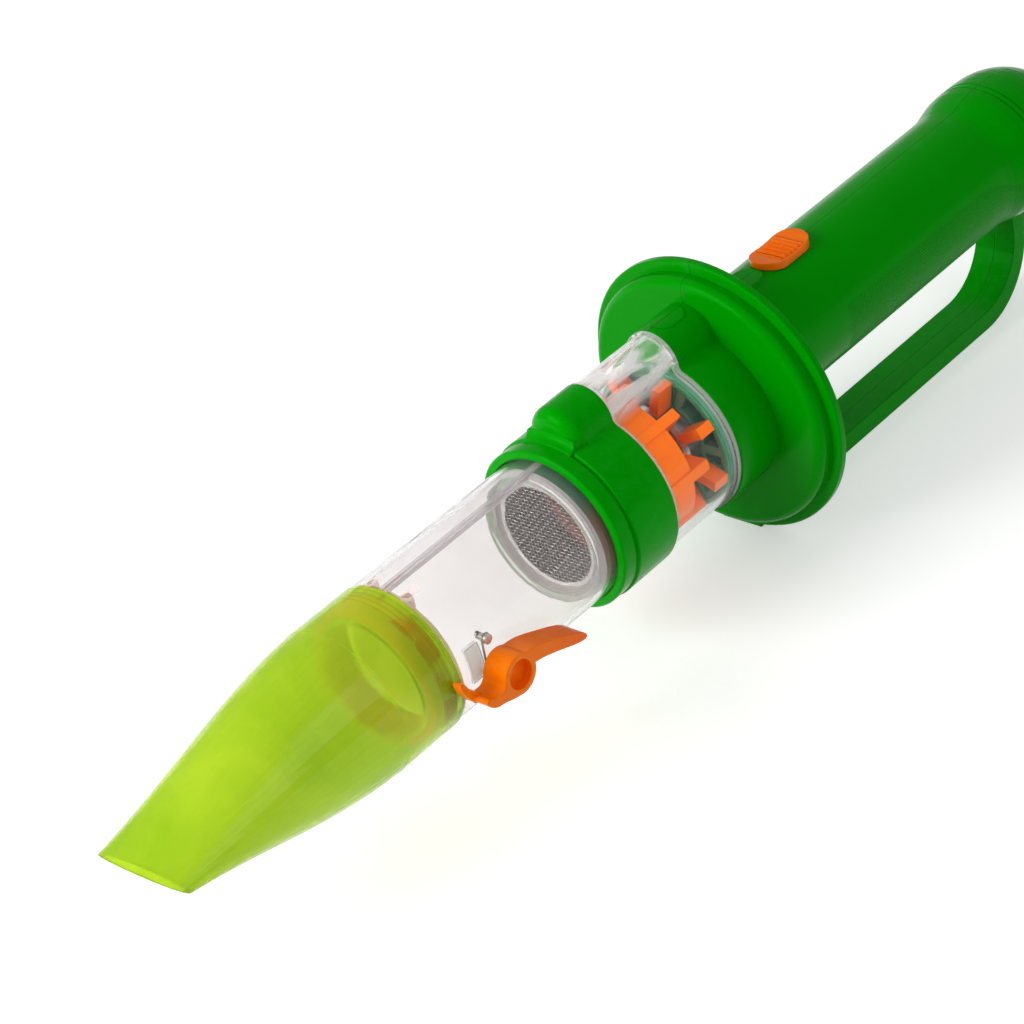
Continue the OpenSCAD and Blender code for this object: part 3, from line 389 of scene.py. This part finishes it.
green = plastic("green_shell", dark=(0.0, 0.265, 0.0), light=(0.0, 0.29, 0.0), **GREEN,
                dots=grip_dots, radius=0.6)
green_collar = plastic("green_collar", dark=(0.0, 0.3, 0.0), light=(0.0, 0.33, 0.0), **GREEN,
                       extra=collar_bore_shade, radius=0.7)
orange = plastic("orange_plastic", **ORANGE)
orange_vanes = plastic("orange_vanes", **ORANGE, extra=ring_green)
dark_green = plastic("dark_green_plastic", (0.08, 0.27, 0.16), (0.12, 0.35, 0.22),
                     (0.2, 0.42, 0.3), level=0.4)
ring_dark = plastic("retainer_plastic", (0.03, 0.035, 0.03), (0.06, 0.06, 0.05),
                    (0.15, 0.14, 0.12), level=0.4)
rubber = plastic("seal_rubber", (0.012, 0.012, 0.012), (0.03, 0.03, 0.03), (0.07, 0.07, 0.07),
                 rough=(0.6, 0.8), level=0.25)
lime = glassy("lime_plastic", (0.45, 0.67, 0.014), (0.61, 0.775, 0.042), 0.58, (0.05, 0.14), 1.3,
              level=0.35, through=(0.86, 0.9, 0.8), streaks=0.3, extra=rim_lines)
clear = glassy("clear_plastic", (0.91, 0.88, 0.88), (0.96, 0.94, 0.94), 0.96, CLEAR_ROUGH, 1.3,
               extra=tube_marks)
clear_chamber = glassy("clear_chamber", (0.97, 0.96, 0.96), (0.99, 0.98, 0.98), 1.0, CLEAR_ROUGH,
                       1.22, streaks=0.0, level=0.35, extra=lobe_streaks_and_rim_highlights)
clear_flap = glassy("clear_flap", (0.84, 0.78, 0.77), (0.9, 0.86, 0.85), 0.75, (0.25, 0.4), 1.3)
clear_filter = glassy("clear_filter", (0.92, 0.89, 0.88), (0.97, 0.95, 0.94), 0.74, (0.05, 0.14),
                      1.35, extra=frame_entry_shade)
steel = metal("steel", (0.55, 0.55, 0.55), (0.72, 0.72, 0.71), (0.22, 0.4))
zinc = metal("zinc_can", (0.42, 0.42, 0.41), (0.6, 0.59, 0.57), (0.3, 0.5), (60, 900, 900), 0.35)
wire_steel = metal("wire_steel", (0.22, 0.21, 0.2), (0.42, 0.4, 0.38), (0.2, 0.35),
                   (400, 400, 400))
cell_skin = plastic("cell_sleeve", (0.05, 0.07, 0.06), (0.08, 0.1, 0.09), (0.3, 0.3, 0.3),
                    rough=(0.2, 0.3), level=0.5)

FINISH = (
    (lime, ["nozzle"]),
    (clear, ["capture_tube"]),
    (clear_flap, ["trap_flap"]),
    (clear_filter, ["filter_frame"]),
    (clear_chamber, ["fan_chamber"]),
    (green, ["left_shell", "right_shell", "battery_cover"]),
    (green_collar, ["front_collar"]),
    (orange, ["coupling_ring", "latch_lever", "impeller", "switch_slider"]),
    (orange_vanes, ["stator_vanes"]),
    (dark_green, ["motor_mount", "battery_tray"]),
    (ring_dark, ["filter_retainer", "motor_cap", "switch_body"]),
    (rubber, ["tube_seal"]),
    (steel, ["motor_shaft", "stop_pin", "shell_screws", "contact_plates", "cover_screw"]),
    (wire_steel, ["filter_mesh", "latch_spring", "contact_springs"]),
    (zinc, ["motor_can"]),
    (cell_skin, ["upper_cell", "lower_cell"]),
)
for material, names in FINISH:
    for name in names:
        nodes[name].data.materials.clear()
        nodes[name].data.materials.append(material)


# ---------------------------------------------------------------- rounded edges
def soften(name, width):
    """Rounds the edges of a moulded piece by width mm, and smooths its fine facets."""
    ob = nodes[name]
    weld = ob.modifiers.new("weld", "WELD")
    weld.merge_threshold = 0.01 * MM
    edge = ob.modifiers.new("edge", "BEVEL")
    edge.width, edge.segments, edge.use_clamp_overlap = width * MM, 2, False
    edge.limit_method, edge.angle_limit = "ANGLE", math.radians(35)
    ob.modifiers.new("shade", "WEIGHTED_NORMAL")


for name, width in (("switch_slider", 0.2), ("latch_lever", 0.25), ("stator_vanes", 0.25),
                    ("motor_mount", 0.25), ("coupling_ring", 0.18), ("impeller", 0.12)):
    soften(name, width)


# ---------------------------------------------------------------- pieces made here
def mesh_piece(name, verts, faces, material, body, slot, smooth=True):
    """A mesh that rides on a body and has the given material. slot is not used."""
    me = bpy.data.meshes.new(name)
    me.from_pydata([tuple(v) for v in verts], [], faces)
    me.update()
    me.validate()
    if smooth:
        me.polygons.foreach_set("use_smooth", [True] * len(me.polygons))
    me.materials.append(material)
    ob = bpy.data.objects.new(name, me)
    scene.collection.objects.link(ob)
    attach(ob, body)
    return ob


def grid_faces(rows, row, closed=False):
    """Four-sided faces between rows of points, each row a ring. closed joins last to first."""
    return [(i * row + k, i * row + (k + 1) % row,
             (i + 1) % rows * row + (k + 1) % row, (i + 1) % rows * row + k)
            for i in range(rows if closed else rows - 1) for k in range(row)]


def tube(points, radius, sides, across, caps=True):
    """Vertices and faces of a round tube along points that don't run along across."""
    pts = np.array(points, float)
    ahead = np.gradient(pts, axis=0)
    ahead /= np.linalg.norm(ahead, axis=1)[:, None]
    side = np.cross(ahead, np.array(across, float))
    side /= np.linalg.norm(side, axis=1)[:, None]
    rise = np.cross(side, ahead)
    a = (np.arange(sides) * 2 * math.pi / sides)[None, :, None]
    ring = np.cos(a) * side[:, None, :] + np.sin(a) * rise[:, None, :]
    verts = (pts[:, None, :] + radius * ring).reshape(-1, 3)
    faces = grid_faces(len(pts), sides)
    if caps:
        faces.append(tuple(range(sides))[::-1])
        faces.append(tuple((len(pts) - 1) * sides + k for k in range(sides)))
    return verts, faces


def joined(tubes):
    """Several tubes as one mesh."""
    verts, faces, base = [], [], 0
    for v, f in tubes:
        verts.append(v)
        faces += [tuple(i + base for i in q) for q in f]
        base += len(v)
    return np.concatenate(verts), faces


def weave():
    """A disc of wires that pass over and under each other, in place of the CAD disc."""
    pitch, wire, sway, rim = 1.2 * MM, 0.155 * MM, 0.15 * MM, 0.25 * MM
    lo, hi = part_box("filter_mesh")
    mid_x, mid_z = (lo.x + hi.x) / 2, (lo.z + hi.z) / 2
    disc_r = (hi.z - lo.z) / 2 - rim
    wires = []
    count = int(disc_r / pitch)
    for i in range(-count, count + 1):
        half = math.sqrt(max(disc_r ** 2 - (i * pitch) ** 2, 0))
        if half < pitch:
            continue
        run = np.arange(-half, half + pitch / 4, pitch / 2)
        wave = sway * np.cos(math.pi * (run / pitch + i))
        upright = [mid_x + wave, np.full_like(run, i * pitch), mid_z + run]
        level = [mid_x - wave, run, np.full_like(run, mid_z + i * pitch)]
        for path in (upright, level):
            wires.append(tube(np.stack(path, 1), wire, 5, across=(1, 0, 0), caps=False))
    return joined(wires)


def inlet_lip():
    """The fan's thin mouth, which reaches into the collar's bore: a turned ring."""
    front, rear, outer, inner, inner_rear, turns = -75.6, -85.8, 15.5, 15.1, 14.9, 96
    section = [(front, inner), (front, outer), (rear, outer), (rear, inner_rear)]
    verts = [at(x, r * math.cos(a), r * math.sin(a))
             for a in (2 * math.pi * i / turns for i in range(turns)) for x, r in section]
    return verts, grid_faces(turns, len(section), closed=True)


def latch_spring():
    """The latch's torsion spring: from a hook round the stop pin down to the coil on the peg,
    on the CAD spring's route."""
    pin_x, pin_z, peg_x, peg_z, first_y = -11.2, 6.4, -12.5, -3.3, 22.56
    pin_r, wire, slack = 1, 0.28, 0.05
    hook = pin_r + wire + slack
    coil, coil_pitch, turns, steps = 3.26, 1.05, 2, 24
    hook_turn, hook_steps = 200, 16
    path = []
    for i in range(hook_steps + 1):
        a = math.radians(hook_turn - hook_turn * i / hook_steps)
        path.append((pin_x + hook * math.cos(a), first_y, pin_z + hook * math.sin(a)))
    for s in (0.15, 0.4, 0.65, 0.88):
        path.append((pin_x + hook + (peg_x - pin_x + coil - hook) * s, first_y,
                     pin_z + (peg_z - pin_z) * s))
    for i in range(steps * turns + 1):
        a = -2 * math.pi * i / steps
        path.append((peg_x + coil * math.cos(a), first_y + coil_pitch * i / steps,
                     peg_z + coil * math.sin(a)))
    return tube([at(*p) for p in path], wire * MM, 10, across=(0, 1, 0))


def contact_springs():
    """Two conical coils on the plates: one behind the upper cell, one before the lower."""
    front_wall = -191.2
    cell, tip, free, plate, play = 49, 1.2, 5.5, 1.0, 0.3
    rear_wall = front_wall - (cell + tip + free + plate + play)
    off_axis, stand, wire = 7.4, 0.5, 0.35
    wide, narrowing, foot, squeeze = 4.4, 1.8, 0.4, 1.0
    turns, steps = 3, 24
    coils = []
    for x, way, z in ((rear_wall + stand, 1, GRIP_Z + off_axis),
                      (front_wall - stand, -1, GRIP_Z - off_axis)):
        path = []
        for i in range(steps * turns + 1):
            s, a = i / (steps * turns), 2 * math.pi * i / steps
            r = wide - narrowing * s
            path.append((x + way * (foot + (free - squeeze) * s),
                         r * math.cos(a), z + r * math.sin(a)))
        coils.append(tube([at(*p) for p in path], wire * MM, 8, across=(1, 0, 0)))
    return joined(coils)


mesh = mesh_piece("woven_mesh", *weave(), wire_steel, "handle", "steel_mesh")
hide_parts("filter_mesh")
mesh_piece("fan_inlet_lip", *inlet_lip(), orange, "fan", "orange", smooth=False)
spring = mesh_piece("latch_spring_wire", *latch_spring(), wire_steel, "tube", "steel")
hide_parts("latch_spring")
contact = mesh_piece("contact_spring_wire", *contact_springs(), wire_steel, "handle", "steel")
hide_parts("contact_springs")


# ---------------------------------------------------------------- floor, world and lamps
FLOOR_HALF, FLOOR_DROP, FLOOR_GREY = 6, 0.0002, (0.82, 0.82, 0.82)
DOME = 0.42  # The world's light on the object
GLOW_NEAR, GLOW_FAR = 0.42, 0.74  # Seen only: brings the lit floor up to white
GLOW_FROM, GLOW_TO = 0.35, 1.3

corners = [(-1, -1), (1, -1), (1, 1), (-1, 1)]
floor_mesh = bpy.data.meshes.new("floor")
floor_mesh.from_pydata([(x * FLOOR_HALF, y * FLOOR_HALF, 0) for x, y in corners], [],
                       [(0, 1, 2, 3)])
floor = bpy.data.objects.new("floor", floor_mesh)
floor.location = (0, 0, -FLOOR_DROP)
scene.collection.objects.link(floor)
m, t, co = start("floor")
seen = t.node("ShaderNodeLightPath").outputs
ray = t.most(seen["Is Camera Ray"], t.most(seen["Is Glossy Ray"], seen["Is Transmission Ray"]))
away = t.node("ShaderNodeVectorMath", {0: co}, operation="LENGTH").outputs["Value"]
strength = t.times(ray, t.span(away, GLOW_FROM, GLOW_TO, GLOW_NEAR, GLOW_FAR))
flat = t.node("ShaderNodeBsdfDiffuse", {"Color": FLOOR_GREY}).outputs[0]
glow = t.node("ShaderNodeEmission", {"Color": WHITE, "Strength": strength}).outputs[0]
both = t.node("ShaderNodeAddShader", {0: flat, 1: glow}).outputs[0]
floor_mesh.materials.append(close(m, t, both))

world = bpy.data.worlds.new("studio")
scene.world = world
world.use_nodes = True
t = Tree(world.node_tree)
seen = t.node("ShaderNodeLightPath").outputs
ray = t.most(seen["Is Camera Ray"], seen["Is Transmission Ray"])
dome = t.node("ShaderNodeBackground", {"Color": WHITE, "Strength": t.span(ray, 0, 1, DOME, 1.0)})
t.put(t.node("ShaderNodeOutputWorld").inputs[0], dome.outputs[0])


def lamp(name, toward, distance, size, radiance):
    """A soft square lamp that lights a white surface facing it to radiance."""
    light = bpy.data.lights.new(name, "AREA")
    light.shape, light.size = "SQUARE", size
    light.energy = radiance * math.pi ** 2 * distance ** 2
    ob = bpy.data.objects.new(name, light)
    scene.collection.objects.link(ob)
    way = Vector(toward).normalized()
    ob.location = Vector(at(-100, 0, 0)) + way * distance
    ob.rotation_mode = "QUATERNION"
    ob.rotation_quaternion = way.to_track_quat("Z", "Y")


lamp("key", (1.25, -0.5, 0.7), 1.4, 0.8, 0.82)
lamp("fill", (-0.1, 1.0, 0.8), 1.5, 0.9, 0.15)

scene.view_settings.view_transform = "Standard"
